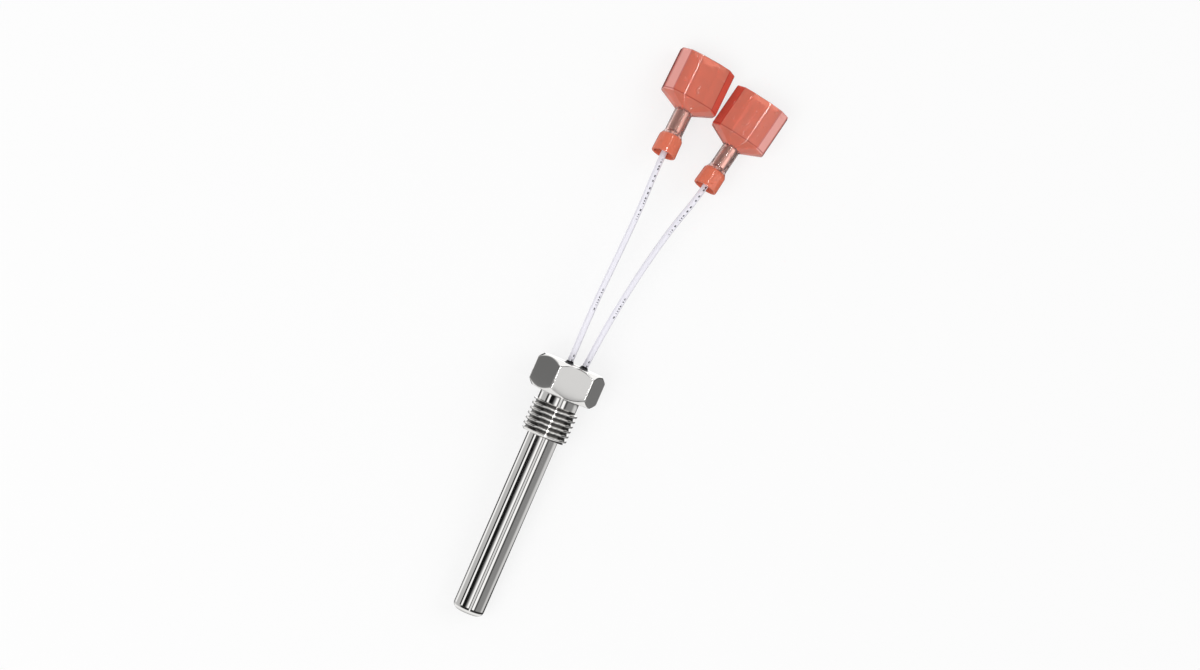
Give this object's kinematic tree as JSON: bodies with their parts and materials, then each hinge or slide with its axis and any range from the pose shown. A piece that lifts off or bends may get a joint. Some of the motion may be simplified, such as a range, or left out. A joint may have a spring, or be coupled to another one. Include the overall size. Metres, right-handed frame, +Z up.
{
  "type": "flue temperature sensor",
  "caption": "Threaded stainless probe with a hex head, two white lead wires and red insulated push-on terminals, lying flat.",
  "frame": {"origin": "on the table under the middle of the probe, its leads and terminals left out", "axes": "+X from the probe's tip towards the terminals, +Z up, as the sensor lies at rest"},
  "size_m": [0.1205, 0.0287, 0.0131],
  "materials": {
    "stainless": "polished",
    "compound": "matte",
    "bead_glass": "gloss",
    "tinned_wire": "satin",
    "sleeve": "satin",
    "potting": "gloss",
    "lead_jacket": "gloss",
    "housing_nylon": "translucent gloss",
    "terminal_brass": "satin",
    "grip_copper": "tinned"
  },
  "bodies": {
    "root": {"probe_sheath": "stainless", "hex_fitting": "stainless", "tip_compound": "compound", "thermistor_bead": "bead_glass", "thermistor_leg_a": "tinned_wire", "thermistor_leg_b": "tinned_wire", "leg_sleeve_a": "sleeve", "leg_sleeve_b": "sleeve", "splice_ferrule_a": "tinned_wire", "splice_ferrule_b": "tinned_wire", "splice_sleeve_a": "sleeve", "splice_sleeve_b": "sleeve", "head_potting": "potting", "lead_wire_a": "lead_jacket", "lead_wire_b": "lead_jacket", "terminal_housing_a": "housing_nylon", "terminal_housing_b": "housing_nylon", "receptacle_a": "terminal_brass", "receptacle_b": "terminal_brass", "grip_sleeve_a": "grip_copper", "grip_sleeve_b": "grip_copper"}
  },
  "joints": []
}
